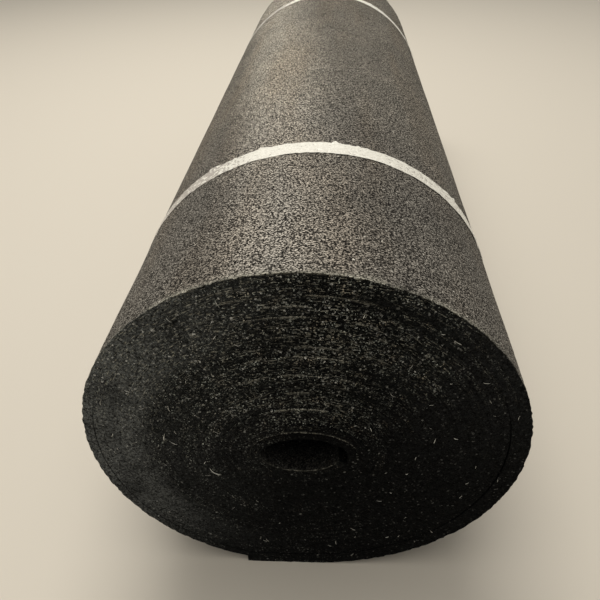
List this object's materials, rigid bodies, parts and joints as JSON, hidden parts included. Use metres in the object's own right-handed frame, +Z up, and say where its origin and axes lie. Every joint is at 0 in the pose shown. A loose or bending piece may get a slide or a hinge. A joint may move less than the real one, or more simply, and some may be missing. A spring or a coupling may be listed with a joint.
{
  "type": "roll of rubber granulate matting",
  "caption": "Lying roll of black bonded rubber granulate mat, wound without a core round an oval hole and held by bands of clear tape.",
  "frame": {"origin": "on the floor, under the middle of the roll's bounding box", "axes": "+Y along the roll from its near end to its far end, +Z up, +X to the right; seen along +Y, the outer end of the mat lies under the left side"},
  "size_m": [0.3736, 1.25, 0.3486],
  "materials": {
    "rubber_granulate": "matt, coarse black granules with a few pale specks, dusty grey on the outside",
    "clear_tape": "milky clear, glossy"
  },
  "bodies": {
    "root": {"mat_roll": "rubber_granulate", "tape_band_near": "clear_tape", "tape_band_far": "clear_tape"}
  },
  "joints": []
}
